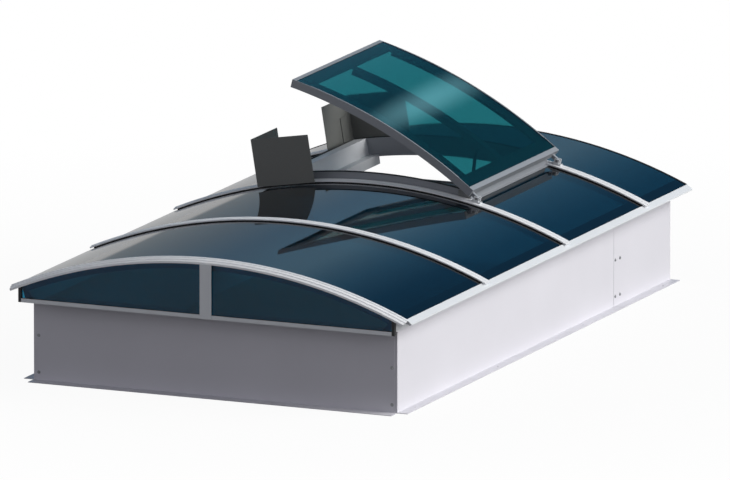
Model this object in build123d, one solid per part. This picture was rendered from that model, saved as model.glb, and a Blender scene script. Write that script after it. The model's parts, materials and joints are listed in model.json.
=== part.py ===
from build123d import *
import os
from math import asin, atan2, cos, degrees, hypot, radians, sin, sqrt

os.makedirs("parts", exist_ok=True)

# Kerb of folded sheet, open towards the next length at its rear end
kerb_width = 2000.0
kerb_length = 3526.0
kerb_height = 420.0
kerb_sheet = 3.0
kerb_side_flange = 56.0
kerb_front_flange = 72.0
kerb_top_flange = 60.0
corner_strip = 15.0
corner_return = 46.0
lap_from_rear = 747.0
lap_gap = 3.0
lap_tongue = 105.0
lap_root = 20.0
fixing_hole = 9.0
fixing_end_inset = 163.0
fixing_inner_span = 1100.0

# Sheet screws of the kerb, hex-headed
screw_sides = 6
screw_head_radius = 9.0
screw_head_height = 4.0
screw_shank_radius = 3.0
screw_shank_length = 12.0
corner_screw_inset = 28.0
corner_screw_heights = (42.0, 232.0)
lap_screw_offsets = (21.0, 83.0)
lap_screw_heights = (53.0, 244.0)

# Barrel vault: every arched piece turns about one axis along Y
glazing_overhang = 70.0
glazing_edge_rise = 79.41
vault_rise = 220.09
front_overhang = 115.0
rear_overhang = 49.0
cap_height = 12.0
upper_seal = 5.0
glass = 8.0
lower_seal = 4.0
cap_past_glass = 22.0
base_setback = 64.0
rear_trim_width = 14.0
rear_trim_sheet = 3.0
rear_trim_rise = 2.0

# Rafters
rafter_pitch = 1041.0
rear_half_bay = 564.0
rafter_half_width = 30.0
rafter_flange = 6.0
rafter_depth = 40.0
rafter_web_half = 5.0
rafter_foot_half = 15.0
spine_half = 6.0
glazing_gap = 4.0
seal_width = 16.0
cap_edge = 6.0
cap_groove_at = 12.0
cap_groove_half = 1.5
cap_groove_depth = 3.0

# Eaves profiles
eaves_base = 60.0
eaves_base_plate = 4.0
eaves_wall = 3.0
eaves_shoulder = 20.0
eaves_lip = 8.0
eaves_drip_out = 30.0
eaves_tip_out = 32.0
eaves_tip_drop = 22.0
eaves_tip = 7.0
eaves_lip_gap = 3.0
eaves_seal_inset = 6.0
end_cap = 4.0

# Gable: arch, sill, mullion and two panes
mullion_proud = 3.0
arch_lip_radius_drop = 38.0
arch_lip = 4.0
arch_width = 57.0
arch_crest_drop = 11.0
arch_cover = 3.0
arch_lip_height = 10.0
arch_past_glass = 18.0
arch_base_at = 24.0
arch_spine = 10.0
arch_spine_drop = 11.0
arch_foot = 25.0
arch_step_depths = (8.0, 14.0, 18.0, 34.0, 38.0, 52.0)
arch_step_drops = (24.0, 24.0, 18.0, 16.0, 11.0, 11.0)
arch_rear_edge = 1.5
sill_height = 20.0
sill_overhang = 18.0
sill_lip = 4.0
sill_slot = 14.0
sill_floor = 11.0
sill_deck = 4.0
pane_seal = 3.0
pane_tuck = 7.5
pane_foot_gap = 0.5
pane_end_gap = 2.0
pane_end_seal = 16.0
mullion_half = 32.0
mullion_web_half = 5.0
mullion_post_half = 22.0
mullion_post_depth = 40.0
fit_gap = 0.3

# Vent opening: upstand frame between the last two rafters
vent_half_arc = 461.0
vent_sheet = 4.0
upstand_rise = 30.0
upstand_outset = 31.0
trimmer_width = 77.0
trimmer_foot = 14.0
trimmer_seat = 25.0
trimmer_foot_gap = 1.0
ledge_radius_drop = 58.0
ledge_width = 58.0
beam_width = 54.0
beam_depth = 45.0
beam_wall = 4.0
bulb_width = 10.0
bulb_height = 5.0

# Flap over the vent, drawn closed and then turned to its open rest
flap_past_rafter = 37.0
flap_past_vent = 88.0
flap_skirt_rise = 8.0
flap_wall = 4.0
flap_lip = 2.0
flap_side_lip = 9.0
flap_closing_lip = 20.0
flap_hinge_lip = 26.0
flap_border = 100.0
flap_rail_width = 60.0
flap_rail_wall = 3.0
flap_bulb_gap = 1.0
flap_glass_gap = 1.0
rib_half = 28.0
rib_depth = 28.0
rib_end_gap = 21.0
flap_open = 26.25

# Flap hinges on the rafter caps
hinge_out = 35.0
hinge_rise = 18.0
hinge_foot = 4.0
hinge_foot_half = 25.0
hinge_cheek_gap = 10.0
hinge_cheek = 6.0
hinge_cheek_half = 14.0
hinge_lug_half = 9.0
hinge_lug_side_gap = 0.4
hinge_pin_radius = 4.0
hinge_pin_fit = 0.05
hinge_pin_run = 0.1
hinge_pin_end = 3.0
hinge_pin_head = 7.0

# Opener: spindle drive on a pair of traverse bars, pushing the rib
traverse_inset = 4.0
traverse_gap = 26.0
traverse_bar = 10.0
opener_inset = 60.0
opener_lean = 10.0
opener_rib_drop = 24.0
opener_half = 18.0
opener_head = 22.0
opener_tail = 150.0
trunnion_radius = 6.0
trunnion_run = 0.1
trunnion_end = 2.0
rod_radius = 9.0
rod_run = 0.3
rod_length = 205.0
eye_radius = 11.0
eye_half = 10.0
eye_neck = 8.0
eye_pin_radius = 5.0
eye_play = 1.4
clevis_foot = 4.0
clevis_gap = 11.0
clevis_cheek = 5.0
clevis_half = 12.0
clevis_below = 9.0
clevis_pin_end = 3.0

# Wind deflectors beside the closing edge
deflector_sheet = 3.0
deflector_from_centre = 614.0
deflector_inset = 27.0
deflector_width = 322.0
deflector_height = 248.0
deflector_drop = 7.0
deflector_wing = 330.0
wing_clear = 3.0
strap_half = 40.0
strap_sheet = 4.0
strap_height = 150.0
strap_foot = 30.0
strap_foot_sheet = 4.0

# Places that follow from the sizes above
kerb_half = kerb_width / 2
vault_length = kerb_length + front_overhang + rear_overhang
y_front = -vault_length / 2
y_rear = vault_length / 2
kerb_front = y_front + front_overhang
kerb_rear = y_rear - rear_overhang
kerb_mid = (kerb_front + kerb_rear) / 2
vault_half = kerb_half + glazing_overhang
glass_out = (vault_half**2 + vault_rise**2) / (2 * vault_rise)
glass_in = glass_out - glass
cap_under = glass_out + upper_seal
cap_radius = cap_under + cap_height
glass_edge_z = kerb_height + glazing_edge_rise
apex_height = glass_edge_z + vault_rise + upper_seal + cap_height
axis_z = apex_height - cap_radius
seat_radius = glass_in - lower_seal
rafter_under = seat_radius - rafter_depth
rafter_4 = y_rear - rear_half_bay
rafter_3 = rafter_4 - rafter_pitch
rafter_2 = rafter_3 - rafter_pitch
rafters = {"2": rafter_2, "3": rafter_3, "4": rafter_4}
vent_mid = (rafter_3 + rafter_4) / 2
gable_front = y_front + mullion_proud
glass_edge = spine_half + glazing_gap
arch_axis = Axis((0, 0, axis_z), (0, 1, 0))


def arc_angle(arc, radius=glass_in):
    """Angle from the crown, in degrees, of a distance measured along an arc."""
    return degrees(arc / radius)


def on_arch(radius, angle, tangent=0.0):
    """X and Z of a point at a radius and angle, moved along the tangent there."""
    turn = radians(angle)
    return (radius * sin(turn) + tangent * cos(turn), axis_z + radius * cos(turn) - tangent * sin(turn))


def sweep_arch(profile, start, end):
    """Turn a section of (y, radius) points about the vault axis between two angles."""
    points = []
    for y, radius in profile:
        x, z = on_arch(radius, start)
        points.append((x, y, z))
    face = make_face(Polyline(*points, close=True))
    return revolve(face, arch_axis, end - start)


def arch_block(y0, y1, r0, r1, start, end):
    """A rectangle of section turned between two angles."""
    return sweep_arch([(y0, r0), (y1, r0), (y1, r1), (y0, r1)], start, end)


def run_along(points, y0, y1):
    """Extrude a section of (x, z) points along Y."""
    face = make_face(Polyline(*[(x, y0, z) for x, z in points], close=True))
    return extrude(face, amount=y1 - y0, dir=(0, 1, 0))


def run_across(points, x0, x1):
    """Extrude a section of (y, z) points along X."""
    face = make_face(Polyline(*[(x0, y, z) for y, z in points], close=True))
    return extrude(face, amount=x1 - x0, dir=(1, 0, 0))


def slab(x0, x1, y0, y1, z0, z1):
    """An upright box between two corners."""
    return run_along([(x0, z0), (x1, z0), (x1, z1), (x0, z1)], y0, y1)


def rod_along_y(x, z, radius, y0, y1):
    """A round bar parallel to Y."""
    return Pos(x, (y0 + y1) / 2, z) * Rot(90, 0, 0) * Cylinder(radius, y1 - y0)


def mirrored(solid):
    """The same piece on the other side of the ridge."""
    return mirror(solid, Plane.YZ)


def save(node, *solids):
    """Write one node, a single solid or a group of them."""
    shape = solids[0] if len(solids) == 1 else Compound(children=list(solids))
    export_step(shape, os.path.join("parts", node + ".step"))


# Kerb side sheets, each side in two lengths with a tongue behind the lap
lap_y = kerb_rear - lap_from_rear
side_front = kerb_front + kerb_sheet
flange_out = kerb_half + kerb_side_flange
side_section = [
    (flange_out, 0), (flange_out, kerb_sheet), (kerb_half, kerb_sheet), (kerb_half, kerb_height),
    (kerb_half - kerb_top_flange, kerb_height), (kerb_half - kerb_top_flange, kerb_height - kerb_sheet),
    (kerb_half - kerb_sheet, kerb_height - kerb_sheet), (kerb_half - kerb_sheet, 0)]
web_in = kerb_half - kerb_sheet
return_in = kerb_half - corner_return
sheet_front = run_along(side_section, side_front, lap_y)
sheet_front += slab(return_in, web_in, side_front, side_front + kerb_sheet, 0, kerb_height - kerb_sheet)
sheet_front += slab(web_in - kerb_sheet, web_in, lap_y - lap_root, lap_y + lap_tongue,
                    kerb_sheet, kerb_height - kerb_sheet - fit_gap)
sheet_rear = run_along(side_section, lap_y + lap_gap, kerb_rear)
fixing_x = kerb_half + kerb_side_flange / 2
fixing_outer_span = kerb_length - 2 * fixing_end_inset
for span in (fixing_outer_span, fixing_inner_span):
    for y in (kerb_mid - span / 2, kerb_mid + span / 2):
        drill = Pos(fixing_x, y, 0) * Cylinder(fixing_hole / 2, kerb_side_flange)
        if y < lap_y:
            sheet_front -= drill
        else:
            sheet_rear -= drill
save("kerb_side_right_front", sheet_front)
save("kerb_side_left_front", mirrored(sheet_front))
save("kerb_side_right_rear", sheet_rear)
save("kerb_side_left_rear", mirrored(sheet_rear))

# Kerb front sheet, standing before the returns of the side sheets
front_half = kerb_half - corner_strip
front_top_half = kerb_half - kerb_top_flange - fit_gap
end_sheet = slab(-front_half, front_half, kerb_front, side_front, 0, kerb_height)
end_sheet += slab(-kerb_half, kerb_half, kerb_front - kerb_front_flange, kerb_front, 0, kerb_sheet)
end_sheet += slab(-front_top_half, front_top_half, side_front, kerb_front + kerb_top_flange,
                  kerb_height - kerb_sheet, kerb_height)
save("kerb_end_front", end_sheet)

# Sheet screws: low heads on the face of the sheet
sheet_screw = extrude(RegularPolygon(screw_head_radius, screw_sides), amount=screw_head_height)
sheet_screw += extrude(RegularPolygon(screw_shank_radius, screw_sides), amount=-screw_shank_length)
corner_screws = []
for z in corner_screw_heights:
    screw = Pos(kerb_half - corner_screw_inset, kerb_front, z) * Rot(90, 0, 0) * sheet_screw
    corner_screws += [screw, mirrored(screw)]
save("kerb_corner_screws", *corner_screws)
lap_screws = []
for back in lap_screw_offsets:
    for z in lap_screw_heights:
        screw = Pos(kerb_half, lap_y + back, z) * Rot(0, 90, 0) * sheet_screw
        lap_screws += [screw, mirrored(screw)]
save("kerb_lap_screws", *lap_screws)

# Eaves: a hollow foot on the kerb top, with a lip under the glass edge that ends in a drip nose
glazing_angle = degrees(asin(vault_half / glass_out))
cap_angle = glazing_angle + arc_angle(cap_past_glass)
base_angle = glazing_angle - arc_angle(base_setback)
lip_angle = glazing_angle + arc_angle(eaves_lip_gap)
shoulder_angle = base_angle + arc_angle(eaves_shoulder)
drip_angle = glazing_angle + arc_angle(eaves_drip_out)
eaves_in = kerb_half - eaves_base
lip_under = seat_radius - eaves_lip
tip_x = vault_half + eaves_tip_out
tip_z = glass_edge_z - eaves_tip_drop
foot_out = [(eaves_in, kerb_height), (kerb_half, kerb_height), on_arch(lip_under, shoulder_angle)]
foot_in = [on_arch(seat_radius, base_angle), on_arch(rafter_under, base_angle),
           (eaves_in, kerb_height + eaves_base_plate)]
nose = [on_arch(lip_under, drip_angle), (tip_x, tip_z - eaves_tip), (tip_x, tip_z),
        on_arch(glass_out, lip_angle), on_arch(seat_radius, lip_angle)]
eaves_section = foot_out + nose + foot_in
foot_section = foot_out + foot_in
eaves_start = gable_front + sill_lip * 2 + sill_slot + end_cap
nose_start = gable_front + arch_width + fit_gap
foot = make_face(Polyline(*[(x, eaves_start, z) for x, z in foot_section], close=True))
chamber = offset(foot, amount=-eaves_wall, kind=Kind.INTERSECTION)
eaves = run_along(foot_section, eaves_start, nose_start) + run_along(eaves_section, nose_start, y_rear)
eaves -= extrude(chamber, amount=y_rear - eaves_start, dir=(0, 1, 0))
save("eaves_right", eaves)
save("eaves_left", mirrored(eaves))
closer = run_along(foot_section, eaves_start - end_cap, eaves_start)
save("eaves_end_caps", closer, mirrored(closer))

# Rafters: base with spine, seals on both faces of the glass, cap on top
foot_top = rafter_under + rafter_flange
flange_under = seat_radius - rafter_flange
base_half_section = [
    (rafter_foot_half, rafter_under), (rafter_foot_half, foot_top), (rafter_web_half, foot_top),
    (rafter_web_half, flange_under), (rafter_half_width, flange_under), (rafter_half_width, seat_radius),
    (spine_half, seat_radius), (spine_half, cap_under)]
edge_radius = cap_under + cap_edge


def cap_skin(y):
    """Radius of the two shallow facets of a cap at a distance from its middle."""
    return cap_radius - (cap_radius - edge_radius) * abs(y) / rafter_half_width


groove_near = cap_groove_at - cap_groove_half
groove_far = cap_groove_at + cap_groove_half
cap_half_section = [
    (rafter_half_width, cap_under), (rafter_half_width, edge_radius), (groove_far, cap_skin(groove_far)),
    (cap_groove_at, cap_skin(cap_groove_at) - cap_groove_depth), (groove_near, cap_skin(groove_near))]


def both_halves(half_section, y):
    """Close a half section over the middle of a rafter standing at y."""
    right = [(y + out, radius) for out, radius in half_section]
    left = [(y - out, radius) for out, radius in reversed(half_section)]
    return right + left


upper_seals = []
lower_seals = []
seal_in = rafter_half_width - seal_width
for name, y in rafters.items():
    base = sweep_arch(both_halves(base_half_section, y), -base_angle, base_angle)
    for start, end in ((-glazing_angle, -base_angle), (base_angle, glazing_angle)):
        base += arch_block(y - spine_half, y + spine_half, seat_radius, cap_under, start, end)
    save("rafter_base_" + name, base)
    crest = [(y, cap_radius)]
    cap_points = [(y + out, radius) for out, radius in cap_half_section] + crest
    cap_points += [(y - out, radius) for out, radius in reversed(cap_half_section)]
    save("rafter_cap_" + name, sweep_arch(cap_points, -cap_angle, cap_angle))
    for side in (-1, 1):
        near = y + side * seal_in
        far = y + side * rafter_half_width
        upper_seals.append(arch_block(near, far, glass_out, cap_under, -glazing_angle, glazing_angle))
        lower_seals.append(arch_block(near, far, seat_radius, glass_in, -base_angle, base_angle))

# Gable arch: stepped cover with a front lip, on its own base
arch_lip_radius = cap_radius - arch_lip_radius_drop
arch_crest = cap_radius - arch_crest_drop
arch_under = arch_crest - arch_cover
spine_top = arch_crest - arch_spine_drop
pane_room = arch_lip_radius + pane_tuck + pane_seal
spine_clear = arch_base_at - arch_lip
glass_start = arch_base_at + arch_spine + glazing_gap
arch_outer = [(0.0, arch_lip_radius), (0.0, arch_lip_radius + arch_lip_height)]
for depth, drop in zip(arch_step_depths, arch_step_drops):
    arch_outer.append((depth, cap_radius - drop))
arch_outer += [(arch_width, arch_crest - arch_rear_edge), (arch_width, arch_under)]
arch_inner = [(glass_start, arch_under), (glass_start, spine_top), (spine_clear, spine_top),
              (spine_clear, pane_room), (arch_lip, pane_room), (arch_lip, arch_lip_radius)]
arch_angle = glazing_angle + arc_angle(arch_past_glass)
arch_section = [(gable_front + depth, radius) for depth, radius in arch_outer + arch_inner]
save("gable_arch_cap", sweep_arch(arch_section, -arch_angle, arch_angle))
base_y = gable_front + arch_base_at
spine_back = base_y + arch_spine
arch_back = gable_front + arch_width
arch_base = sweep_arch(
    [(base_y, rafter_under), (base_y, spine_top), (spine_back, spine_top), (spine_back, seat_radius),
     (arch_back, seat_radius), (arch_back, flange_under), (spine_back, flange_under), (spine_back, foot_top),
     (base_y + arch_foot, foot_top), (base_y + arch_foot, rafter_under)], -base_angle, base_angle)
save("gable_arch_base", arch_base)
bay_1_start = gable_front + glass_start + fit_gap
upper_seals.append(arch_block(bay_1_start, arch_back, glass_out, arch_under, -glazing_angle, glazing_angle))
lower_seals.append(arch_block(bay_1_start, arch_back, seat_radius, glass_in, -base_angle, base_angle))
trim_start = y_rear - rear_trim_width
glass_rear = y_rear - rear_trim_sheet
trim_top = glass_out + rear_trim_rise
upper_seals.append(sweep_arch(
    [(trim_start, glass_out), (trim_start, trim_top), (y_rear, trim_top), (y_rear, glass_in),
     (glass_rear, glass_in), (glass_rear, glass_out)], -glazing_angle, glazing_angle))
save("rafter_seals_upper", *upper_seals)
save("rafter_seals_lower", *lower_seals)

# Glazing bays; the vent bay keeps a strip on each side of the flap
trim_out = vent_half_arc + trimmer_width
strip_angle = arc_angle(trim_out + fit_gap)
bay_3_start = rafter_3 + glass_edge
bay_3_end = rafter_4 - glass_edge
full_bays = {"1": (bay_1_start, rafter_2 - glass_edge), "2": (rafter_2 + glass_edge, rafter_3 - glass_edge),
             "4": (rafter_4 + glass_edge, glass_rear)}
for name, (start, end) in full_bays.items():
    save("glazing_bay_" + name, arch_block(start, end, glass_in, glass_out, -glazing_angle, glazing_angle))
for name, start, end in (("left", -glazing_angle, -strip_angle), ("right", strip_angle, glazing_angle)):
    save("glazing_bay_3_" + name, arch_block(bay_3_start, bay_3_end, glass_in, glass_out, start, end))
eaves_seals = []
seal_start = base_angle + arc_angle(eaves_seal_inset)
for start, end in (*full_bays.values(), (bay_3_start, bay_3_end)):
    strip = arch_block(start, end, seat_radius, glass_in, seal_start, glazing_angle)
    eaves_seals += [strip, mirrored(strip)]
save("eaves_seals", *eaves_seals)

# Gable sill, mullion, panes and their seals
sill_half = kerb_half + sill_overhang
sill_top = kerb_height + sill_height
floor_z = kerb_height + sill_floor
slot_front = gable_front + sill_lip
slot_back = slot_front + sill_slot
sill_back = slot_back + sill_lip
sill = run_across(
    [(gable_front, kerb_height), (sill_back, kerb_height), (sill_back, sill_top), (slot_back, sill_top),
     (slot_back, floor_z), (slot_front, floor_z), (slot_front, sill_top), (gable_front, sill_top)],
    -sill_half, sill_half)
deck_half = eaves_in - fit_gap
deck_top = kerb_height + sill_deck
sill += slab(-deck_half, deck_half, sill_back, kerb_front + kerb_top_flange, kerb_height, deck_top)
save("gable_sill", sill)
mullion = slab(-mullion_half, mullion_half, y_front, gable_front, kerb_height, apex_height)
mullion += slab(-mullion_web_half, mullion_web_half, gable_front, slot_back, sill_top, apex_height)
lip_trim = rod_along_y(0, axis_z, arch_lip_radius - fit_gap, y_front, kerb_front)
mullion = mullion & lip_trim
post_back = slot_back + mullion_post_depth
post = slab(-mullion_post_half, mullion_post_half, slot_back, post_back, sill_top, apex_height)
post += slab(-mullion_post_half, mullion_post_half, sill_back, post_back, deck_top, sill_top)
post_trim = rod_along_y(0, axis_z, rafter_under - fit_gap, y_front, kerb_front)
save("gable_mullion", mullion + (post & post_trim))
pane_front = slot_front + pane_seal
pane_back = pane_front + glass
pane_radius = arch_lip_radius + pane_tuck
pane_in = mullion_web_half + glazing_gap
pane = slab(pane_in, sill_half - pane_end_gap, pane_front, pane_back, floor_z + pane_foot_gap, apex_height)
pane = pane & rod_along_y(0, axis_z, pane_radius, y_front, kerb_front)
save("gable_pane_right", pane)
save("gable_pane_left", mirrored(pane))
gable_seals = [
    arch_block(slot_front, pane_front, arch_lip_radius, pane_radius, -base_angle, base_angle),
    arch_block(pane_back, base_y, arch_lip_radius, pane_radius, -base_angle, base_angle)]
for start, end in ((slot_front, pane_front), (pane_back, slot_back)):
    strip = slab(pane_in, sill_half, start, end, floor_z, sill_top)
    gable_seals += [strip, mirrored(strip)]
end_seal = slab(sill_half, sill_half + pane_end_seal, gable_front, sill_back, kerb_height, apex_height)
end_seal = end_seal & lip_trim
gable_seals += [end_seal, mirrored(end_seal)]
save("gable_seals", *gable_seals)

# Vent upstand: arched webs beside the rafters, trimmers across the bay
upstand_top = cap_radius + upstand_rise
vent_angle = arc_angle(vent_half_arc)
web_near = upstand_outset
web_far = upstand_outset + vent_sheet
for name, y, side in (("near", rafter_3, 1), ("far", rafter_4, -1)):
    section = [
        (glass_edge, glass_in), (glass_edge, glass_out), (web_near, glass_out), (web_near, upstand_top),
        (web_far, upstand_top), (web_far, rafter_under), (web_near, rafter_under), (web_near, glass_in)]
    placed = [(y + side * out, radius) for out, radius in section]
    save("vent_side_" + name, sweep_arch(placed, -vent_angle, vent_angle))
trim_y0 = rafter_3 + web_near
trim_y1 = rafter_4 - web_near
beam_y0 = rafter_3 + web_far
beam_y1 = rafter_4 - web_far
ledge_top = cap_radius - ledge_radius_drop
ledge_under = ledge_top - vent_sheet
sheet_angle = arc_angle(vent_sheet)
out_angle = arc_angle(trim_out)
foot_under = glass_out + trimmer_foot_gap
seat_low = seat_radius - vent_sheet
ledge_angle = arc_angle(vent_half_arc - ledge_width)
trimmer = arch_block(trim_y0, trim_y1, ledge_under, upstand_top, vent_angle, vent_angle + sheet_angle)
trimmer += arch_block(trim_y0, trim_y1, upstand_top - vent_sheet, upstand_top, vent_angle, out_angle)
trimmer += arch_block(trim_y0, trim_y1, seat_low, upstand_top, out_angle - sheet_angle, out_angle)
trimmer += arch_block(trim_y0, trim_y1, foot_under, foot_under + vent_sheet, out_angle - sheet_angle,
                      arc_angle(trim_out + trimmer_foot))
trimmer += arch_block(trim_y0, trim_y1, seat_low, seat_radius, out_angle - sheet_angle,
                      arc_angle(trim_out + trimmer_seat))
trimmer += arch_block(beam_y0, beam_y1, ledge_under, ledge_top, ledge_angle, vent_angle + sheet_angle)
save("vent_trimmer_hinge", trimmer)
save("vent_trimmer_closing", mirrored(trimmer))
beam_angle = arc_angle(vent_half_arc - ledge_width + beam_width)
beam_under = ledge_under - beam_depth
wall_angle = arc_angle(beam_wall)
beam = arch_block(beam_y0, beam_y1, beam_under, ledge_under, ledge_angle, beam_angle)
beam -= arch_block(beam_y0, beam_y1, beam_under + beam_wall, ledge_under - beam_wall,
                   ledge_angle + wall_angle, beam_angle - wall_angle)
save("vent_beam_hinge", beam)
save("vent_beam_closing", mirrored(beam))
bulb_top = upstand_top + bulb_height
bulb_half = bulb_width / 2
vent_seals = []
for y in (rafter_3 + web_near + vent_sheet / 2, rafter_4 - web_near - vent_sheet / 2):
    vent_seals.append(arch_block(y - bulb_half, y + bulb_half, upstand_top, bulb_top, -out_angle, out_angle))
bulb_y0 = rafter_3 + web_near + vent_sheet / 2 + bulb_half
bulb_y1 = rafter_4 - web_near - vent_sheet / 2 - bulb_half
cross_bulb = arch_block(bulb_y0, bulb_y1, upstand_top, bulb_top, out_angle - arc_angle(bulb_width), out_angle)
vent_seals += [cross_bulb, mirrored(cross_bulb)]
save("vent_seals", *vent_seals)

# Traverse bars between the two beams
traverse_high = ledge_under - traverse_inset
traverse_low = beam_under + traverse_inset
traverse_section = [on_arch(traverse_high, -ledge_angle), on_arch(traverse_high, ledge_angle),
                    on_arch(traverse_low, ledge_angle), on_arch(traverse_low, -ledge_angle)]
low_x, low_z = on_arch(traverse_low, ledge_angle)
opener_x = low_x - opener_inset
opener_rib_x = opener_x - opener_lean
opener_z = (on_arch(traverse_high, ledge_angle)[1] + low_z) / 2
traverse_far = traverse_gap + traverse_bar
bars = []
for near, far in ((-traverse_far, -traverse_gap), (traverse_gap, traverse_far)):
    bar = run_along(traverse_section, vent_mid + near, vent_mid + far)
    bore_radius = trunnion_radius + trunnion_run
    bars.append(bar - rod_along_y(opener_x, opener_z, bore_radius, vent_mid + near, vent_mid + far))
save("opener_traverse", *bars)

# Flap hinge: axis over the caps of rafters 3 and 4, outside the flap edge
flap_half_arc = vent_half_arc + flap_past_vent
hinge_radius = cap_radius + hinge_rise
hinge_angle = arc_angle(flap_half_arc + hinge_out)
hinge_x, hinge_z = on_arch(hinge_radius, hinge_angle)
hinge_axis = Axis((hinge_x, 0, hinge_z), (0, 1, 0))
foot_spread = arc_angle(hinge_foot_half, cap_radius)
cheek_spread = arc_angle(hinge_cheek_half, cap_radius)
cheek_far = hinge_cheek_gap + hinge_cheek
foot_top_radius = cap_radius + hinge_foot
cheek_top = hinge_radius + hinge_lug_half
brackets = []
pins = []
for y in (rafter_3, rafter_4):
    bracket = arch_block(y - cheek_far, y + cheek_far, cap_radius, foot_top_radius,
                         hinge_angle - foot_spread, hinge_angle + foot_spread)
    for near, far in ((-cheek_far, -hinge_cheek_gap), (hinge_cheek_gap, cheek_far)):
        bracket += arch_block(y + near, y + far, foot_top_radius, cheek_top,
                              hinge_angle - cheek_spread, hinge_angle + cheek_spread)
    bore = rod_along_y(hinge_x, hinge_z, hinge_pin_radius + hinge_pin_fit, y - cheek_far, y + cheek_far)
    brackets.append(bracket - bore)
    pin = rod_along_y(hinge_x, hinge_z, hinge_pin_radius, y - cheek_far, y + cheek_far + hinge_pin_end)
    pin_head = rod_along_y(hinge_x, hinge_z, hinge_pin_head, y - cheek_far - hinge_pin_end, y - cheek_far)
    pins.append(pin + pin_head)
save("hinge_brackets", *brackets)
save("hinge_pins", *pins)


def opened(solid):
    """Turn a piece of the flap from closed to its open rest."""
    return solid.rotate(hinge_axis, flap_open)


# Flap rails: skirt, box and glass seat, all concentric with the vault
flap_half = rafter_pitch / 2 + flap_past_rafter
skirt_under = cap_radius + flap_skirt_rise
seat_under = bulb_top + flap_bulb_gap
seat_top = seat_under + flap_wall
flap_lip_under = seat_top + glass
flap_top = flap_lip_under + flap_lip
border_angle = arc_angle(flap_half_arc - flap_border)
edge_angle = arc_angle(flap_half_arc)
skirt_angle = arc_angle(flap_half_arc - flap_wall)
rail_in = flap_half - flap_rail_width
side_outer = [
    (flap_half, skirt_under), (flap_half, flap_top), (flap_half - flap_side_lip, flap_top),
    (flap_half - flap_side_lip, flap_lip_under), (flap_half - flap_wall, flap_lip_under),
    (flap_half - flap_wall, seat_top), (flap_half - flap_border, seat_top),
    (flap_half - flap_border, seat_under), (rail_in, seat_under), (rail_in, skirt_under)]
for name, side in (("near", -1), ("far", 1)):
    placed = [(vent_mid + side * out, radius) for out, radius in side_outer]
    rail = sweep_arch(placed, -border_angle, border_angle)
    box_in = vent_mid + side * (rail_in + flap_rail_wall)
    box_y = sorted((box_in, vent_mid + side * (flap_half - flap_rail_wall)))
    rail -= arch_block(*box_y, skirt_under + flap_rail_wall, seat_under, -border_angle, border_angle)
    save("flap_rail_" + name, opened(rail))
flap_y0 = vent_mid - flap_half
flap_y1 = vent_mid + flap_half
cross_rails = (("hinge", flap_hinge_lip, 1), ("closing", flap_closing_lip, -1))
for name, lip, side in cross_rails:
    lip_start = arc_angle(flap_half_arc - lip)
    rail = arch_block(flap_y0, flap_y1, skirt_under, flap_top, skirt_angle, edge_angle)
    rail += arch_block(flap_y0, flap_y1, seat_under, seat_top, border_angle, skirt_angle)
    rail += arch_block(flap_y0, flap_y1, flap_lip_under, flap_top, lip_start, skirt_angle)
    for y0, y1 in ((flap_y0, flap_y0 + flap_wall), (flap_y1 - flap_wall, flap_y1)):
        rail += arch_block(y0, y1, skirt_under, flap_top, border_angle, skirt_angle)
    if side < 0:
        rail = mirrored(rail)
    save("flap_rail_" + name, opened(rail))
pane_half = flap_half - flap_wall - flap_glass_gap
pane_angle = arc_angle(flap_half_arc - flap_wall - flap_glass_gap)
flap_pane = arch_block(vent_mid - pane_half, vent_mid + pane_half, seat_top, flap_lip_under,
                       -pane_angle, pane_angle)
save("flap_glazing", opened(flap_pane))
rib_angle = arc_angle(vent_half_arc - rib_end_gap)
rib_y0 = vent_mid - rib_half
rib_y1 = vent_mid + rib_half
rib_under = seat_under - rib_depth
rib = arch_block(rib_y0, rib_y1, seat_under, seat_top, -border_angle, border_angle)
rib += arch_block(rib_y0, rib_y1, rib_under, seat_under, -rib_angle, rib_angle)
rib -= arch_block(rib_y0 + flap_rail_wall, rib_y1 - flap_rail_wall, rib_under + flap_rail_wall, seat_under,
                  -rib_angle + sheet_angle, rib_angle - sheet_angle)
save("flap_rib", opened(rib))
lugs = []
lug_half_width = hinge_cheek_gap - hinge_lug_side_gap
for y in (rafter_3, rafter_4):
    lug = arch_block(y - lug_half_width, y + lug_half_width, hinge_radius - hinge_lug_half,
                     hinge_radius + hinge_lug_half, edge_angle, hinge_angle)
    lug += rod_along_y(hinge_x, hinge_z, hinge_lug_half, y - lug_half_width, y + lug_half_width)
    lug -= rod_along_y(hinge_x, hinge_z, hinge_pin_radius + hinge_pin_run, y - cheek_far, y + cheek_far)
    lugs.append(opened(lug))
save("flap_lugs", *lugs)

# Opener clevis under the rib, then the drive aimed at its pin
rib_turn = degrees(atan2(opener_rib_x, sqrt(rib_under**2 - opener_rib_x**2)))
rib_x, rib_z = on_arch(rib_under, rib_turn)
pin_z = rib_z - opener_rib_drop
clevis_spread = arc_angle(clevis_half, rib_under)
clevis_far = clevis_gap + clevis_cheek
clevis = arch_block(vent_mid - clevis_far, vent_mid + clevis_far, rib_under - clevis_foot, rib_under,
                    rib_turn - clevis_spread, rib_turn + clevis_spread)
pin_radius = hypot(rib_x, pin_z - axis_z)
for near, far in ((-clevis_far, -clevis_gap), (clevis_gap, clevis_far)):
    clevis += arch_block(vent_mid + near, vent_mid + far, pin_radius - clevis_below, rib_under - clevis_foot,
                         rib_turn - clevis_spread, rib_turn + clevis_spread)
pin_bore = rod_along_y(rib_x, pin_z, eye_pin_radius + hinge_pin_fit,
                       vent_mid - clevis_far, vent_mid + clevis_far)
save("opener_clevis", opened(clevis - pin_bore))
clevis_pin = rod_along_y(rib_x, pin_z, eye_pin_radius, vent_mid - clevis_far - clevis_pin_end,
                         vent_mid + clevis_far + clevis_pin_end)
save("opener_clevis_pin", opened(clevis_pin))
turn = radians(flap_open)
arm_x = rib_x - hinge_x
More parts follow.
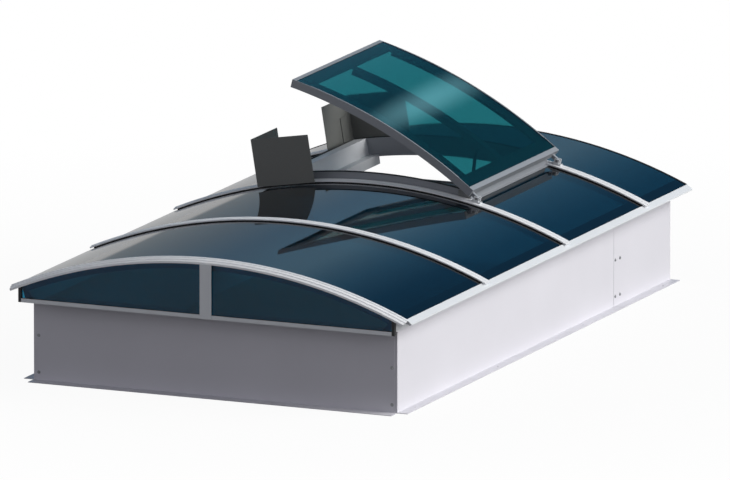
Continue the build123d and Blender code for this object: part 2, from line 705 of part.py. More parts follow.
arm_z = pin_z - hinge_z
eye_x = hinge_x + arm_x * cos(turn) + arm_z * sin(turn)
eye_z = hinge_z - arm_x * sin(turn) + arm_z * cos(turn)
reach = hypot(eye_x - opener_x, eye_z - opener_z)
drive = Plane(origin=(opener_x, vent_mid, opener_z), x_dir=(0, 1, 0),
              z_dir=((eye_x - opener_x) / reach, 0, (eye_z - opener_z) / reach))
drive_length = opener_head + opener_tail
drive_mid = (opener_head - opener_tail) / 2
case = Pos(0, 0, drive_mid) * Box(2 * opener_half, 2 * opener_half, drive_length)
rod_low = reach - rod_length
case -= Pos(0, 0, (opener_head - opener_tail + eye_radius) / 2) * Cylinder(rod_radius + rod_run,
                                                                         drive_length - eye_radius)
trunnion_out = traverse_far + trunnion_end
for side in (-1, 1):
    case += Pos(side * (opener_half + trunnion_out) / 2, 0, 0) * Rot(0, 90, 0) * Cylinder(
        trunnion_radius, trunnion_out - opener_half)
save("opener_case", drive * case)
spindle = Pos(0, 0, reach) * Rot(0, 90, 0) * Cylinder(eye_radius, 2 * eye_half)
spindle -= Pos(0, 0, reach) * Rot(0, 90, 0) * Cylinder(eye_pin_radius + eye_play, 2 * eye_half)
rod_high = reach - eye_neck
spindle += Pos(0, 0, (rod_low + rod_high) / 2) * Cylinder(rod_radius, rod_high - rod_low)
save("opener_rod", drive * spindle)

# Wind deflectors: a plate across the vault and a wing along it, on straps
deflector_angle = -arc_angle(vent_half_arc - deflector_inset)
plate_low = cap_radius - deflector_drop
plate_high = plate_low + deflector_height
plate_half = deflector_width / 2
wing_low = sqrt((cap_radius + wing_clear) ** 2 - plate_half**2)
wing_in = deflector_sheet - plate_half
strap_in = wing_in + strap_sheet
leg_low = sqrt(cap_radius**2 - strap_in**2)
leg_high = leg_low + strap_height
leg_turn = deflector_angle + degrees(atan2(wing_in + strap_sheet / 2, leg_low))


def upright(low, high, near, far):
    """Corners of a plate standing on the vault at the deflector's angle, between two tangent offsets."""
    return [on_arch(radius, deflector_angle, tangent)
            for radius, tangent in ((low, near), (low, far), (high, far), (high, near))]


straps = []
for name, side in (("near", 1), ("far", -1)):
    y_plate = vent_mid - side * deflector_from_centre
    plate = run_along(upright(plate_low, plate_high, -plate_half, plate_half),
                      *sorted((y_plate, y_plate + side * deflector_sheet)))
    wing = run_along(upright(wing_low, plate_high, -plate_half, wing_in),
                     *sorted((y_plate, y_plate + side * deflector_wing)))
    save("deflector_" + name, plate + wing)
    y_strap = rafter_3 if side > 0 else rafter_4
    leg = run_along(upright(leg_low, leg_high, wing_in, strap_in), y_strap - strap_half, y_strap + strap_half)
    foot = arch_block(y_strap - strap_half, y_strap + strap_half, cap_radius, cap_radius + strap_foot_sheet,
                      leg_turn, leg_turn + arc_angle(strap_foot, cap_radius))
    straps.append(leg + foot)
save("deflector_straps", *straps)
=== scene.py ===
import json
from math import asin, cos, pi, radians, sin

import bpy
from bpy.props import FloatProperty, FloatVectorProperty, IntProperty, PointerProperty
from mathutils import Matrix, Vector


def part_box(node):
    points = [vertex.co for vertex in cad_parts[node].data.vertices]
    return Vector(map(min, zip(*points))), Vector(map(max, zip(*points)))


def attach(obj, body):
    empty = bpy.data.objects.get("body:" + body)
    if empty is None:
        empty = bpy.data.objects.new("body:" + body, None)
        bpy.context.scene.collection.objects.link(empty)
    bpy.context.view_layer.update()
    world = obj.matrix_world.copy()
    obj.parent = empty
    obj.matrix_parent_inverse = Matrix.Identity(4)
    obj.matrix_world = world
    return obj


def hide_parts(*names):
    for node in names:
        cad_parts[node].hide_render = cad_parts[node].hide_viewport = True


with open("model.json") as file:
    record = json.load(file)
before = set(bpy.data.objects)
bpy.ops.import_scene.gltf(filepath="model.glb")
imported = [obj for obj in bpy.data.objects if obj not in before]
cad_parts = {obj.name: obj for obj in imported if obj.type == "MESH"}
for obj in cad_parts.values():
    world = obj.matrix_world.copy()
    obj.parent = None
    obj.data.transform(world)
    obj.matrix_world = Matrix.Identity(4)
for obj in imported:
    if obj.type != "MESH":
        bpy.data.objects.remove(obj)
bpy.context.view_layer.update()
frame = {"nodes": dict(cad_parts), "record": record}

bl_info = {
    "name": "Continuous rooflight",
    "version": (1, 0, 0),
    "blender": (4, 5, 0),
    "location": "3D View > Sidebar > Rooflight",
    "description": "Dresses a barrel-vault rooflight length with an opening vent flap",
    "category": "Object",
}

MM = 0.001

# Vault: the CAD's outer radius of the glass, and the axis that puts a bay's crown where the frame has it
GLASS = 8 * MM
BAY_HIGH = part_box("glazing_bay_2")[1]
GLASS_OUTER = 2711.03 * MM
GLASS_INNER = GLASS_OUTER - GLASS
AXIS_Z = BAY_HIGH.z - GLASS_OUTER
EDGE_ANGLE = asin(BAY_HIGH.x / GLASS_OUTER)
STRIP_ARC = 538.3 * MM
STRIP_ANGLE = STRIP_ARC / GLASS_INNER

# Kerb screws: across and up on the front end, back from the lap and up on the long sides
CORNER_SCREWS_X = (-972 * MM, 972 * MM)
CORNER_SCREWS_Z = (42 * MM, 232 * MM)
LAP_SCREWS_BACK = (21 * MM, 83 * MM)
LAP_SCREWS_Z = (53 * MM, 244 * MM)

# Feet on the rafter caps, all of one plate: places along the arc from the crown
CAP_DEPTH = 17 * MM
FOOT_PLATE = 4 * MM
FOOT_TOP = GLASS_OUTER + CAP_DEPTH + FOOT_PLATE
HINGE_ARC = 584 * MM
HINGE_SCREW_SIDE = 8 * MM
STRAP_FOOT_TURN = -0.2112
STRAP_FOOT_RADIUS = 2723.7 * MM
DEFLECTOR_ARC = -434 * MM
DEFLECTOR_TURN = DEFLECTOR_ARC / GLASS_INNER
DEFLECTOR_HALF = 161 * MM
DEFLECTOR_BOLT_RISES = (45 * MM, 115 * MM)

# Screw heads: sides, low and high radius as shares of the washer's, bottom and top as shares of the rise
SCREW_LAYERS = {"washer": (24, 1.0, 0.94, 0.0, 0.3),
                "flange": (24, 0.86, 0.7, 0.3, 0.5),
                "hex": (6, 0.62, 0.58, 0.5, 1.0)}
# Small fixings against the kerb's screws: washer and rise
HINGE_SCREW_SHARES = (0.5, 0.6)
STRAP_SCREW_SHARES = (0.7, 1.0)
BOLT_SHARES = (0.8, 1.0)

# Edges sharper than these stay sharp
SHEET_CREASE = radians(30)
SCREW_CREASE = radians(25)

# Flap: closed on the vault, turned open about its hinge line
FLAP_RISE = 65 * MM
FLAP_GLASS_INNER = GLASS_INNER + FLAP_RISE
FLAP_PANE_ARC = 544 * MM
FLAP_PANE_ANGLE = FLAP_PANE_ARC / GLASS_INNER
TAPE = 0.5 * MM
HINGE = next(joint["pos_m"] for joint in frame["record"]["behaviour"]["joints"]
             if joint["name"] == "flap_hinge")
FLAP_OPEN = radians(26.25)

# Die lines run along a profile: what the pattern keeps of x, y and z
ALONG_ARCH = (0.02, 1.0, 0.02)
ALONG_VAULT = (1.0, 0.02, 1.0)
ALONG_UPRIGHT = (1.0, 1.0, 0.02)

# Refractive index: acrylic's on the bays, less on gable and flap, which mirror less in the photograph
BAY_IOR = 1.49
GABLE_IOR = 1.35
FLAP_IOR = 1.30

# Camera of the photograph: far away, so that parallel edges stay parallel
VIEW_AZIMUTH = radians(23.595)
VIEW_ELEVATION = radians(11.886)
VIEW_TARGET = Vector((0.0, 0.1572, 0.4406))
VIEW_DISTANCE = 114.82
VIEW_CLIP = (VIEW_DISTANCE / 10, VIEW_DISTANCE * 4)
VIEW_LENS = 1110.0
VIEW_SENSOR = 36.0

WHITE = "#FFFFFF"
KEY_COLOUR = "#FFFDF9"
KEY_SPREAD = radians(45)

# Floor: a disc of this many sides just under the object, plain white from the far distance on
FLOOR_SIDES = 96
FLOOR_DROP = 1 * MM
FLOOR_NEAR = 2.2
FLOOR_FAR = 5.0

# Soft box: it hangs where the flap mirrors it to the photograph's camera, with its streak at this place
STREAK = Vector((0.0395, 0.877, 1.0652))
SOFTBOX_WAY = Vector((-0.084, 0.897, 0.434))
SOFTBOX_DISTANCE = 4.0
SOFTBOX_LENGTH = 1.25
SOFTBOX_WIDTH = 0.62
SOFTBOX_COLOUR = "#A0EAF8"

# Tones of the studio room by height over the horizon in degrees: neutral in front, sky blue behind
FRONT_TONES = ((-90, "#C8C8C8"), (-1, "#C8C8C8"), (1, "#C0C0C6"), (35, "#C0C0C6"), (55, "#6C7176"),
               (90, "#4A4F54"))
BACK_TONES = ((-90, "#C8C8C8"), (-0.3, "#C8C8C8"), (0.3, "#899095"), (8, "#798A98"), (13, "#6C8AA3"),
              (19, "#7AA2BC"), (22, "#4F82A6"), (24, "#32658C"), (27, "#2C597B"), (45, "#525A62"),
              (90, "#4A4F54"))
# From the middle of the room to this share of the way back, the tones behind take over
BACK_BLEND = 0.6


def linear(code):
    """An sRGB hex colour as the linear values that shaders take."""
    channels = []
    for start in (1, 3, 5):
        value = int(code[start:start + 2], 16) / 255
        channels.append(value / 12.92 if value <= 0.04045 else ((value + 0.055) / 1.055) ** 2.4)
    return (*channels, 1.0)


def colour_property(name, description, code):
    """A colour that a user can change, given as sRGB hex."""
    return FloatVectorProperty(name=name, description=description, subtype="COLOR", size=4, min=0.0, max=1.0,
                               default=linear(code))


class RooflightColours(bpy.types.PropertyGroup):
    """Colours of the finishes."""
    kerb: colour_property("Kerb sheet", "Coil-coated steel sheet of the kerb", "#C9C8CF")
    # Painted highlight and shade: arched and straight aluminium are one anodised metal in two tones, lighter
    # on the arches and caps to paint their highlights, darker on the straight lengths to paint their shade.
    aluminium: colour_property(
        "Arched aluminium", "Anodised aluminium of the arches and rafter caps", "#E8EAED")
    straight_aluminium: colour_property(
        "Straight aluminium", "Anodised aluminium of eaves, sill and mullion", "#CFD2D6")
    # A darker aluminium tone for the flap, the vent's upstand and its hinge-side trimmer.
    darker_aluminium: colour_property(
        "Mill aluminium", "Plainer aluminium of the flap and the vent's upstand", "#868A90")
    glazing: colour_property("Bay glazing", "Body tint of the double-skin glazing of the bays", "#03202E")
    gable_glazing: colour_property("Gable glazing", "Body tint of the gable's panes", "#126682")
    flap_glazing: colour_property("Flap glazing", "Body tint of the flap's lighter, single sheet", "#1D696E")
    rubber: colour_property("Rubber", "Seals beside the glass", "#15171A")
    anthracite: colour_property("Anthracite sheet", "Powder-coated wind deflectors", "#636563")
    zinc: colour_property("Zinc steel", "Zinc-plated fixings and opener parts", "#8E9092")
    drive: colour_property("Drive case", "Coated case of the spindle drive", "#A9ADB1")


class RooflightSizes(bpy.types.PropertyGroup):
    """Sizes of the details that are not in the frame."""
    screw_head: FloatProperty(name="Screw washer", description="Radius of a sheet screw's washer",
                              default=9 * MM, unit="LENGTH")
    screw_rise: FloatProperty(name="Screw rise", description="Height of a sheet screw's head over the sheet",
                              default=4 * MM, unit="LENGTH")
    hinge_screw_spread: FloatProperty(
        name="Hinge screw spread", description="From a hinge line to its foot's screws",
        default=19.5 * MM, unit="LENGTH")
    strap_screw_spread: FloatProperty(
        name="Strap screw spread", description="From a strap's middle to its screws",
        default=24 * MM, unit="LENGTH")
    lap_tongue: FloatProperty(name="Lap tongue", description="Length of the tongue behind the kerb's lap",
                              default=105 * MM, unit="LENGTH")
    glazing_steps: IntProperty(name="Glazing steps", description="Faces along the arc of a glazing sheet",
                               default=96, min=8)


class RooflightStage(bpy.types.PropertyGroup):
    """Light and floor of the studio."""
    key: FloatProperty(name="Key light", description="Strength of the soft light on the long side",
                       default=4.2, min=0.0)
    softbox: FloatProperty(name="Soft box", description="Strength of the soft box behind the object",
                           default=1.65, min=0.0)
    key_way: FloatVectorProperty(name="Key direction", description="Towards the soft light",
                                 default=(0.80, 0.30, 0.46), subtype="DIRECTION")
    floor_radius: FloatProperty(name="Floor radius", description="Radius of the pale floor",
                                default=16.0, unit="LENGTH")
    floor_colour: colour_property("Floor", "Matt paint of the floor", "#CACACA")
    floor_bounce: colour_property("Floor bounce", "What the floor gives back to matt surfaces", "#303030")
    floor_white: FloatProperty(name="Floor white", description="Share of plain white near the object",
                               default=0.95, min=0.0, max=1.0, subtype="FACTOR")
    floor_gloss: FloatProperty(
        name="Floor in gloss", description="Share of plain white that reflections take up",
        default=0.05, min=0.0, max=1.0, subtype="FACTOR")


def add(tree, kind, settings=None, inputs=None):
    """Add a node, set its properties, and set or link its inputs."""
    node = tree.nodes.new(kind)
    for name, value in (settings or {}).items():
        setattr(node, name, value)
    for name, value in (inputs or {}).items():
        if isinstance(value, bpy.types.NodeSocket):
            tree.links.new(value, node.inputs[name])
        else:
            node.inputs[name].default_value = value
    return node


def empty_material(name):
    """A material without nodes, and its tree."""
    material = bpy.data.materials.new(name)
    material.use_nodes = True
    material.node_tree.nodes.clear()
    return material, material.node_tree


def new_material(name):
    """A material with its shader and output, and the object's own coordinates."""
    material, tree = empty_material(name)
    shader = add(tree, "ShaderNodeBsdfPrincipled")
    add(tree, "ShaderNodeOutputMaterial", inputs={"Surface": shader.outputs["BSDF"]})
    place = add(tree, "ShaderNodeTexCoord").outputs["Object"]
    return material, tree, shader, place


def link_skin(tree, shader, tone, gloss, bump):
    """Give a shader the tone, gloss and height of its skin."""
    tree.links.new(tone.outputs["Result"], shader.inputs["Base Color"])
    tree.links.new(gloss.outputs["Result"], shader.inputs["Roughness"])
    tree.links.new(bump.outputs["Normal"], shader.inputs["Normal"])


def shade(colour, share):
    """A colour made darker or lighter by a share."""
    return (*[min(1.0, channel * share) for channel in colour[:3]], 1.0)


def coated_steel_sheet(name, colour):
    """Coil-coated steel: a satin skin, faintly uneven in tone and gloss from the coating line."""
    material, tree, shader, place = new_material(name)
    cloud = add(tree, "ShaderNodeTexNoise", inputs={"Vector": place, "Scale": 1 / (450 * MM), "Detail": 3.0})
    tone = add(tree, "ShaderNodeMix", {"data_type": "RGBA"}, {
        "Factor": cloud.outputs["Fac"], "A": shade(colour, 0.94), "B": shade(colour, 1.05)})
    gloss = add(tree, "ShaderNodeMapRange", inputs={
        "Value": cloud.outputs["Fac"], "To Min": 0.36, "To Max": 0.48})
    # Orange peel of the coating is under 1 mm across: drawn at 6 mm so that it shows
    peel = add(tree, "ShaderNodeTexNoise", inputs={"Vector": place, "Scale": 1 / (6 * MM), "Detail": 2.0})
    bump = add(tree, "ShaderNodeBump", inputs={
        "Height": peel.outputs["Fac"], "Strength": 0.04, "Distance": 0.4 * MM})
    link_skin(tree, shader, tone, gloss, bump)
    return material


def drawn_aluminium(name, colour, across):
    """Extruded aluminium: fine die lines along the profile, so they vary only across it."""
    material, tree, shader, place = new_material(name)
    # Die lines are about 0.5 mm apart: drawn at 4 mm so that they show
    squeeze = add(tree, "ShaderNodeMapping", inputs={"Vector": place, "Scale": across})
    lines = add(tree, "ShaderNodeTexNoise", inputs={
        "Vector": squeeze.outputs["Vector"], "Scale": 1 / (4 * MM), "Detail": 2.0})
    cloud = add(tree, "ShaderNodeTexNoise", inputs={"Vector": place, "Scale": 1 / (240 * MM), "Detail": 3.0})
    tone = add(tree, "ShaderNodeMix", {"data_type": "RGBA"}, {
        "Factor": cloud.outputs["Fac"], "A": shade(colour, 0.93), "B": shade(colour, 1.04)})
    gloss = add(tree, "ShaderNodeMapRange", inputs={
        "Value": lines.outputs["Fac"], "To Min": 0.34, "To Max": 0.50})
    bump = add(tree, "ShaderNodeBump", inputs={
        "Height": lines.outputs["Fac"], "Strength": 0.06, "Distance": 0.3 * MM})
    shader.inputs["Metallic"].default_value = 0.12
    link_skin(tree, shader, tone, gloss, bump)
    return material


def tinted_glazing(name, colour, ior):
    """Body-tinted acrylic: a polished skin with a slow roller wave that bends reflections a little."""
    material, tree, shader, place = new_material(name)
    wave = add(tree, "ShaderNodeTexNoise", inputs={"Vector": place, "Scale": 1 / (500 * MM), "Detail": 1.0})
    bump = add(tree, "ShaderNodeBump", inputs={
        "Height": wave.outputs["Fac"], "Strength": 0.08, "Distance": 4 * MM})
    haze = add(tree, "ShaderNodeTexNoise", inputs={"Vector": place, "Scale": 1 / (180 * MM), "Detail": 4.0})
    gloss = add(tree, "ShaderNodeMapRange", inputs={
        "Value": haze.outputs["Fac"], "To Min": 0.01, "To Max": 0.05})
    shader.inputs["Base Color"].default_value = colour
    shader.inputs["Transmission Weight"].default_value = 1.0
    shader.inputs["IOR"].default_value = ior
    tree.links.new(gloss.outputs["Result"], shader.inputs["Roughness"])
    tree.links.new(bump.outputs["Normal"], shader.inputs["Normal"])
    return material


def grained_finish(name, colour, grain, metallic, low, high):
    """A coated, plated or moulded skin: fine grain in its height, gloss and tone."""
    material, tree, shader, place = new_material(name)
    speck = add(tree, "ShaderNodeTexNoise", inputs={"Vector": place, "Scale": 1 / grain, "Detail": 3.0})
    tone = add(tree, "ShaderNodeMix", {"data_type": "RGBA"}, {
        "Factor": speck.outputs["Fac"], "A": shade(colour, 0.85), "B": shade(colour, 1.12)})
    gloss = add(tree, "ShaderNodeMapRange", inputs={
        "Value": speck.outputs["Fac"], "To Min": low, "To Max": high})
    bump = add(tree, "ShaderNodeBump", inputs={
        "Height": speck.outputs["Fac"], "Strength": 0.1, "Distance": grain / 8})
    shader.inputs["Metallic"].default_value = metallic
    link_skin(tree, shader, tone, gloss, bump)
    return material


def finish(material_name):
    """The material of that name, made once from the scene's colours."""
    made = bpy.data.materials.get(material_name)
    if made:
        return made
    colours = bpy.context.scene.rooflight_colours
    recipes = {
        "coil_coated_steel_sheet": (coated_steel_sheet, colours.kerb),
        # Arched aluminium is lighter, a painted highlight; straight and upright aluminium is darker, painted
        # shade.
        "extruded_aluminium_arched": (drawn_aluminium, colours.aluminium, ALONG_ARCH),
        "extruded_aluminium_straight": (drawn_aluminium, colours.straight_aluminium, ALONG_VAULT),
        "extruded_aluminium_upright": (drawn_aluminium, colours.straight_aluminium, ALONG_UPRIGHT),
        # The darker aluminium tone, on the flap, the vent's upstand and its hinge-side trimmer.
        "mill_finish_aluminium_arched": (drawn_aluminium, colours.darker_aluminium, ALONG_ARCH),
        "mill_finish_aluminium_straight": (drawn_aluminium, colours.darker_aluminium, ALONG_VAULT),
        "tinted_acrylic_bay_glazing": (tinted_glazing, colours.glazing, BAY_IOR),
        "tinted_acrylic_gable_glazing": (tinted_glazing, colours.gable_glazing, GABLE_IOR),
        "tinted_acrylic_flap_glazing": (tinted_glazing, colours.flap_glazing, FLAP_IOR),
        # Grain, metallic share, and the least and most roughness
        "extruded_epdm_rubber": (grained_finish, colours.rubber, 5 * MM, 0.0, 0.55, 0.75),
        "powder_coated_anthracite_sheet": (grained_finish, colours.anthracite, 5 * MM, 0.0, 0.45, 0.6),
        "zinc_plated_steel": (grained_finish, colours.zinc, 6 * MM, 0.9, 0.3, 0.45),
        "coated_drive_case": (grained_finish, colours.drive, 5 * MM, 0.4, 0.35, 0.5),
    }
    if material_name not in recipes:
        raise ValueError("no finish is named " + material_name)
    make, *values = recipes[material_name]
    return make(material_name, *values)


def dress(material_name, *nodes):
    """Give CAD nodes a finish."""
    for name in nodes:
        mesh = frame["nodes"][name].data
        mesh.materials.clear()
        mesh.materials.append(finish(material_name))


def start_tree(name, inputs):
    """A Geometry Nodes tree with named inputs; gives the tree and its input node."""
    tree = bpy.data.node_groups.new(name, "GeometryNodeTree")
    tree.interface.new_socket("Geometry", in_out="INPUT", socket_type="NodeSocketGeometry")
    for label, kind in inputs:
        tree.interface.new_socket(label, in_out="INPUT", socket_type=kind)
    tree.interface.new_socket("Geometry", in_out="OUTPUT", socket_type="NodeSocketGeometry")
    return tree, add(tree, "NodeGroupInput")


def end_tree(tree, geometry, material):
    """Close a tree with real geometry and its material."""
    real = add(tree, "GeometryNodeRealizeInstances", inputs={"Geometry": geometry})
    dressed = add(tree, "GeometryNodeSetMaterial", inputs={
        "Geometry": real.outputs["Geometry"], "Material": material})
    add(tree, "NodeGroupOutput", inputs={"Geometry": dressed.outputs["Geometry"]})


def run_tree(tree, name, points, values):
    """Run a tree on a mesh of points and keep the result as a plain mesh object."""
    seed = bpy.data.meshes.new(name + "_points")
    seed.from_pydata([tuple(place) for place, _ in points], [], [])
    axis = seed.attributes.new("axis", "FLOAT_VECTOR", "POINT")
    for index, (_, direction) in enumerate(points):
        axis.data[index].vector = direction
    piece = bpy.data.objects.new(name, seed)
    bpy.context.scene.collection.objects.link(piece)
    modifier = piece.modifiers.new(tree.name, "NODES")
    modifier.node_group = tree
    for item in tree.interface.items_tree:
        if item.in_out == "INPUT" and item.name in values:
            modifier[item.identifier] = values[item.name]
    bpy.context.view_layer.update()
    shaped = piece.evaluated_get(bpy.context.evaluated_depsgraph_get())
    mesh = bpy.data.meshes.new_from_object(shaped)
    piece.modifiers.clear()
    piece.data = mesh
    mesh.name = name
    bpy.data.meshes.remove(seed)
    if not mesh.polygons:
        raise RuntimeError(name + " came out empty")
    return piece


def smooth(piece, angle):
    """Smooth shading that keeps edges sharper than an angle."""
    for face in piece.data.polygons:
        face.use_smooth = True
    piece.data.set_sharp_from_angle(angle=angle)


def curved_sheet_tree():
    """A sheet bent about the vault axis: a slab whose length becomes an angle and whose depth a radius."""
    made = bpy.data.node_groups.get("curved_sheet")
    if made:
        return made
    floats = ("Inner radius", "Thickness", "Start angle", "End angle", "Near edge", "Far edge", "Axis height")
    tree, given = start_tree("curved_sheet", [(label, "NodeSocketFloat") for label in floats]
                             + [("Steps", "NodeSocketInt"), ("Material", "NodeSocketMaterial")])
    across = add(tree, "ShaderNodeMath", {"operation": "ADD"}, {0: given.outputs["Steps"], 1: 1.0})
    flat = add(tree, "GeometryNodeMeshCube", inputs={
        "Size": (1.0, 1.0, 1.0), "Vertices X": across.outputs["Value"]})
    position = add(tree, "GeometryNodeInputPosition")
    place = add(tree, "ShaderNodeSeparateXYZ", inputs={"Vector": position.outputs["Position"]})
    outer = add(tree, "ShaderNodeMath", {"operation": "ADD"},
                {0: given.outputs["Inner radius"], 1: given.outputs["Thickness"]})
    spans = {"X": (given.outputs["Start angle"], given.outputs["End angle"]),
             "Y": (given.outputs["Near edge"], given.outputs["Far edge"]),
             "Z": (given.outputs["Inner radius"], outer.outputs["Value"])}
    angle, along, radius = [
        add(tree, "ShaderNodeMapRange", inputs={
            "Value": place.outputs[axis], "From Min": -0.5, "From Max": 0.5,
            "To Min": low, "To Max": high}).outputs["Result"]
        for axis, (low, high) in spans.items()]
    sine = add(tree, "ShaderNodeMath", {"operation": "SINE"}, {0: angle})
    cosine = add(tree, "ShaderNodeMath", {"operation": "COSINE"}, {0: angle})
    out = add(tree, "ShaderNodeMath", {"operation": "MULTIPLY"}, {0: radius, 1: sine.outputs["Value"]})
    up = add(tree, "ShaderNodeMath", {"operation": "MULTIPLY_ADD"},
             {0: radius, 1: cosine.outputs["Value"], 2: given.outputs["Axis height"]})
    bent = add(tree, "ShaderNodeCombineXYZ", inputs={
        "X": out.outputs["Value"], "Y": along, "Z": up.outputs["Value"]})
    moved = add(tree, "GeometryNodeSetPosition", inputs={
        "Geometry": flat.outputs["Mesh"], "Position": bent.outputs["Vector"]})
    end_tree(tree, moved.outputs["Geometry"], given.outputs["Material"])
    return tree


def curved_sheet(node, material_name, inner, thickness, start, end):
    """A glazing sheet in place of a CAD node, between that node's ends along the vault."""
    low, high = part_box(node)
    values = {"Inner radius": inner, "Thickness": thickness, "Start angle": start, "End angle": end,
              "Near edge": low.y, "Far edge": high.y, "Axis height": AXIS_Z,
              "Steps": bpy.context.scene.rooflight_sizes.glazing_steps,
              "Material": finish(material_name)}
    piece = run_tree(curved_sheet_tree(), node + "_sheet", [(Vector(), Vector((0, 0, 1)))], values)
    smooth(piece, SHEET_CREASE)
    # Clear sheets let the room's soft light through to the profiles behind them
    piece.visible_diffuse = False
    return piece


def sheet_screw_tree():
    """Hex sheet screws with a washer, one on each point, along the point's axis."""
    made = bpy.data.node_groups.get("sheet_screws")
    if made:
        return made
    tree, given = start_tree("sheet_screws", [
        ("Washer radius", "NodeSocketFloat"), ("Rise", "NodeSocketFloat"),
        ("Material", "NodeSocketMaterial")])
    wide, rise = given.outputs["Washer radius"], given.outputs["Rise"]
    layers = []
    for sides, low_share, high_share, bottom, top in SCREW_LAYERS.values():
        shares = ((wide, low_share), (wide, high_share), (rise, bottom), (rise, top - bottom))
        low, high, foot, depth = [
            add(tree, "ShaderNodeMath", {"operation": "MULTIPLY"}, {0: whole, 1: share}).outputs["Value"]
            for whole, share in shares]
        cone = add(tree, "GeometryNodeMeshCone", inputs={
            "Vertices": sides, "Radius Bottom": low, "Radius Top": high, "Depth": depth})
        lift = add(tree, "ShaderNodeCombineXYZ", inputs={"Z": foot})
        layers.append(add(tree, "GeometryNodeTransform", inputs={
            "Geometry": cone.outputs["Mesh"], "Translation": lift.outputs["Vector"]}))
    screw = add(tree, "GeometryNodeJoinGeometry")
    for layer in layers:
        tree.links.new(layer.outputs["Geometry"], screw.inputs["Geometry"])
    axis = add(tree, "GeometryNodeInputNamedAttribute", {"data_type": "FLOAT_VECTOR"}, {"Name": "axis"})
    turn = add(tree, "FunctionNodeAlignRotationToVector", {"axis": "Z"}, {
        "Vector": axis.outputs["Attribute"]})
    placed = add(tree, "GeometryNodeInstanceOnPoints", inputs={
        "Points": given.outputs["Geometry"], "Instance": screw.outputs["Geometry"],
        "Rotation": turn.outputs["Rotation"]})
    end_tree(tree, placed.outputs["Instances"], given.outputs["Material"])
    return tree


def sheet_screws(name, points, washer, rise, body):
    """Screws on given places, riding on a body."""
    piece = run_tree(sheet_screw_tree(), name, points, {
        "Washer radius": washer, "Rise": rise, "Material": finish("zinc_plated_steel")})
    smooth(piece, SCREW_CREASE)
    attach(piece, body)
    return piece


def on_vault(radius, angle, y, tangent=0.0):
    """A point over the vault at a radius and an angle from the crown, moved along the tangent there."""
    return Vector((radius * sin(angle) + tangent * cos(angle), y,
                   AXIS_Z + radius * cos(angle) - tangent * sin(angle)))


class ROOFLIGHT_OT_kerb(bpy.types.Operator):
    """Coat the sheets of the kerb"""
    bl_idname = "rooflight.kerb"
    bl_label = "Kerb sheets"

    def execute(self, context):
        dress("coil_coated_steel_sheet", "kerb_side_left_front", "kerb_side_left_rear",
              "kerb_side_right_front", "kerb_side_right_rear", "kerb_end_front")
        return {"FINISHED"}


class ROOFLIGHT_OT_screws(bpy.types.Operator):
    """Set the sheet screws of the kerb"""
    bl_idname = "rooflight.screws"
    bl_label = "Kerb screws"

    def execute(self, context):
        sizes = context.scene.rooflight_sizes
        side_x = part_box("kerb_end_front")[1].x
        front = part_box("kerb_corner_screws")[0].y + sizes.screw_rise
        corners = []
        for x in CORNER_SCREWS_X:
            for z in CORNER_SCREWS_Z:
                corners.append((Vector((x, front, z)), Vector((0, -1, 0))))
        piece = sheet_screws("kerb_corner_screw_heads", corners, sizes.screw_head, sizes.screw_rise,
                             "rooflight")
        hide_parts("kerb_corner_screws")
        lap_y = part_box("kerb_side_right_front")[1].y - sizes.lap_tongue
        laps = []
        for side in (-1, 1):
            for back in LAP_SCREWS_BACK:
                for z in LAP_SCREWS_Z:
                    laps.append((Vector((side * side_x, lap_y + back, z)), Vector((side, 0, 0))))
        piece = sheet_screws("kerb_lap_screw_heads", laps, sizes.screw_head, sizes.screw_rise, "rooflight")
        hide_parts("kerb_lap_screws")
        return {"FINISHED"}


class ROOFLIGHT_OT_fixings(bpy.types.Operator):
    """Set the screws of the hinge feet and the deflector straps, and the bolts of the deflectors"""
    bl_idname = "rooflight.fixings"
    bl_label = "Hinge and deflector fixings"

    def execute(self, context):
        sizes = context.scene.rooflight_sizes
        hinge_screws = []
        strap_screws = []
        bolts = []
        for cap in ("rafter_cap_3", "rafter_cap_4"):
            low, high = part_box(cap)
            middle = (low.y + high.y) / 2
            for arc in (HINGE_ARC - sizes.hinge_screw_spread, HINGE_ARC + sizes.hinge_screw_spread):
                turn = arc / GLASS_INNER
                for y in (middle - HINGE_SCREW_SIDE, middle + HINGE_SCREW_SIDE):
                    hinge_screws.append((on_vault(FOOT_TOP, turn, y), Vector((sin(turn), 0, cos(turn)))))
            for y in (middle - sizes.strap_screw_spread, middle + sizes.strap_screw_spread):
                turn = STRAP_FOOT_TURN
                strap_screws.append((on_vault(FOOT_TOP, turn, y), Vector((sin(turn), 0, cos(turn)))))
                for rise in DEFLECTOR_BOLT_RISES:
                    place = on_vault(STRAP_FOOT_RADIUS + rise, DEFLECTOR_TURN, y, -DEFLECTOR_HALF)
                    bolts.append((place, Vector((-cos(DEFLECTOR_TURN), 0, sin(DEFLECTOR_TURN)))))
        fixings = {"hinge_foot_screws": (hinge_screws, HINGE_SCREW_SHARES),
                   "strap_foot_screws": (strap_screws, STRAP_SCREW_SHARES),
                   "deflector_bolts": (bolts, BOLT_SHARES)}
        for name, (points, (washer, rise)) in fixings.items():
            sheet_screws(name, points, sizes.screw_head * washer, sizes.screw_rise * rise, "rooflight")
        return {"FINISHED"}


class ROOFLIGHT_OT_eaves(bpy.types.Operator):
    """Finish the eaves profiles and their closers"""
    bl_idname = "rooflight.eaves"
    bl_label = "Eaves"

    def execute(self, context):
        dress("extruded_aluminium_straight", "eaves_left", "eaves_right", "eaves_end_caps")
        dress("extruded_epdm_rubber", "eaves_seals")
        return {"FINISHED"}


class ROOFLIGHT_OT_rafters(bpy.types.Operator):
    """Finish the rafters, their caps and seals"""
    bl_idname = "rooflight.rafters"
    bl_label = "Rafters"

    def execute(self, context):
        for number in ("2", "3", "4"):
            dress("extruded_aluminium_arched", "rafter_base_" + number, "rafter_cap_" + number)
        dress("extruded_epdm_rubber", "rafter_seals_upper", "rafter_seals_lower")
        return {"FINISHED"}


